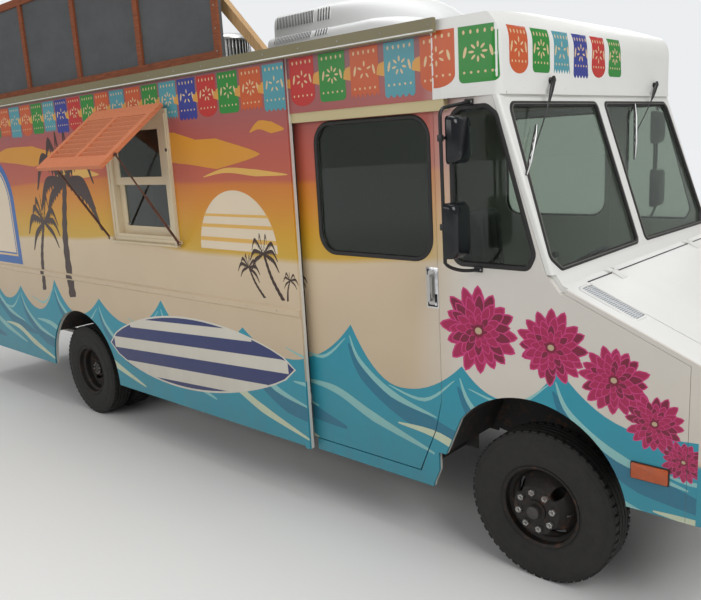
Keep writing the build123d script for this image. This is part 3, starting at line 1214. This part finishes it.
def lamps():
    """Sealed-beam headlamps, corner markers and tail lamps."""
    tail_y = CARGO_HALF_WIDTH - 130
    pieces = [
        rod_x(LAMP_Y, LAMP_Z, LAMP_RADIUS - SEAT_GAP, NOSE_FRONT - 45, NOSE_FRONT + 6),
        box(NOSE_FRONT, NOSE_FRONT + 14, LAMP_Y - 75, LAMP_Y + 75, 830, 890),
        box(492, 668, CAB_HALF_WIDTH, CAB_HALF_WIDTH + 14, 738, 822),
        rod_x(tail_y, 1010, 60, CARGO_REAR - 8, CARGO_REAR),
        rod_x(tail_y, 860, 60, CARGO_REAR - 8, CARGO_REAR),
    ]
    return {"lamps": Compound(children=[s for piece in pieces for s in pair(piece).solids()])}


def wipers():
    """Two wipers that hang from pivots in the cap, above the panes."""
    front = SCREEN_TOP_X + CAP_OVER_SCREEN
    pieces = []
    for pivot_y, top_y, top_z, tip_y, tip_z in WIPERS:
        middle_z = (top_z + tip_z) / 2
        arm = rod_x(pivot_y, WIPER_PIVOT_Z, 14, front, front + 26)
        arm += bar_between((front + 20, pivot_y, WIPER_PIVOT_Z),
                           (screen_x(middle_z) + 14, (top_y + tip_y) / 2, middle_z), 6)
        arm += bar_between((screen_x(top_z) + 14, top_y, top_z),
                           (screen_x(tip_z) + 14, tip_y, tip_z), 6)
        pieces += arm.solids()
    return {"wipers": Compound(children=pieces)}


def steering_wheel():
    """Steering wheel of three spokes on a column that stands on the toe board."""
    x, y, z = WHEEL_HUB
    hub = Pos(ahead(x), y, z) * Rot(0, -WHEEL_TILT, 0)
    wheel = hub * Torus(WHEEL_RING_RADIUS, WHEEL_GRIP_RADIUS)
    wheel += hub * Pos(0, 0, -10) * Cylinder(36, 36)
    for angle in (0, 120, 240):
        wheel += hub * Rot(0, 0, angle) * Pos(108, 0, -4) * Box(212, 26, 8)
    drop = (COLUMN_FRONT - x) * math.tan(math.radians(90 - WHEEL_TILT))
    column = bar_between((x - 6, y, z - 9), (COLUMN_FRONT, y, z - 9 - drop), COLUMN_RADIUS)
    toe_front = FIREWALL + SHEET
    under_toe = [(TOE_REAR, FLOOR_Z + SEAT_GAP), (toe_front, TOE_TOP_Z + SEAT_GAP),
                 (toe_front, 500), (TOE_REAR, 500)]
    return wheel + (column - side_prism(under_toe, y - 100, y + 100))


def cab_inside():
    """Engine cover, dashboard, driver's seat and steering wheel."""
    half, skin = COVER_HALF_WIDTH, COVER_SKIN
    cover = box(COVER_REAR, FIREWALL, -half, half, FLOOR_Z, COVER_TOP_Z)
    cover = fillet(cover.edges().filter_by(Axis.X).sort_by(Axis.Z)[-2:], 60)
    cover -= box(COVER_REAR + skin, FIREWALL + 5, -half + skin, half - skin, FLOOR_Z - 5,
                 COVER_TOP_Z - skin)
    reach = CAB_HALF_WIDTH - CAB_PANEL - 4
    dash = side_prism([(FIREWALL, 1330), (FIREWALL, 1590), (-40, 1600), (-190, 1520), (-190, 1390),
                       (-120, 1330)], -reach, reach, [0, 0, 20, 30, 30, 0])
    seat = box(-1240, -850, SEAT_Y - 140, SEAT_Y + 140, FLOOR_Z, 1130)
    seat += side_prism([(-1290, 1130), (-800, 1130), (-780, 1230), (-1290, 1230)],
                       SEAT_Y - 240, SEAT_Y + 240, [20, 40, 30, 20])
    seat += side_prism([(-1320, 1200), (-1190, 1200), (-1250, 1800), (-1350, 1800)],
                       SEAT_Y - 230, SEAT_Y + 230, [30, 30, 40, 40])
    return {"engine_cover": cover, "dashboard": dash, "driver_seat": seat,
            "steering_wheel": steering_wheel()}


def build():
    """All nodes of the truck, by name."""
    screen, panes = windscreen()
    cab_nodes, quarter = cab()
    window, window_panes = pickup_window()
    glass = [*panes.solids(), *quarter.solids()]
    for pane in window_panes:
        glass += pane.solids()
    nodes = {"front_axle": front_axle(), "rear_axle": rear_axle(),
             "fixed_glass": Compound(children=glass)}
    for group in (chassis(), rolling(), driveline(), floor(), front_wheelhouses(), cargo_walls(),
                  roof(), front_cap(), screen, cab_nodes, nose(), rear_end(), window, shutter(),
                  props(), roof_gear(), mirrors(), lamps(), wipers(), cab_inside()):
        nodes.update(group)
    return nodes


os.makedirs("parts", exist_ok=True)
for node_name, node_shape in build().items():
    export_step(node_shape, f"parts/{node_name}.step")
print("written")
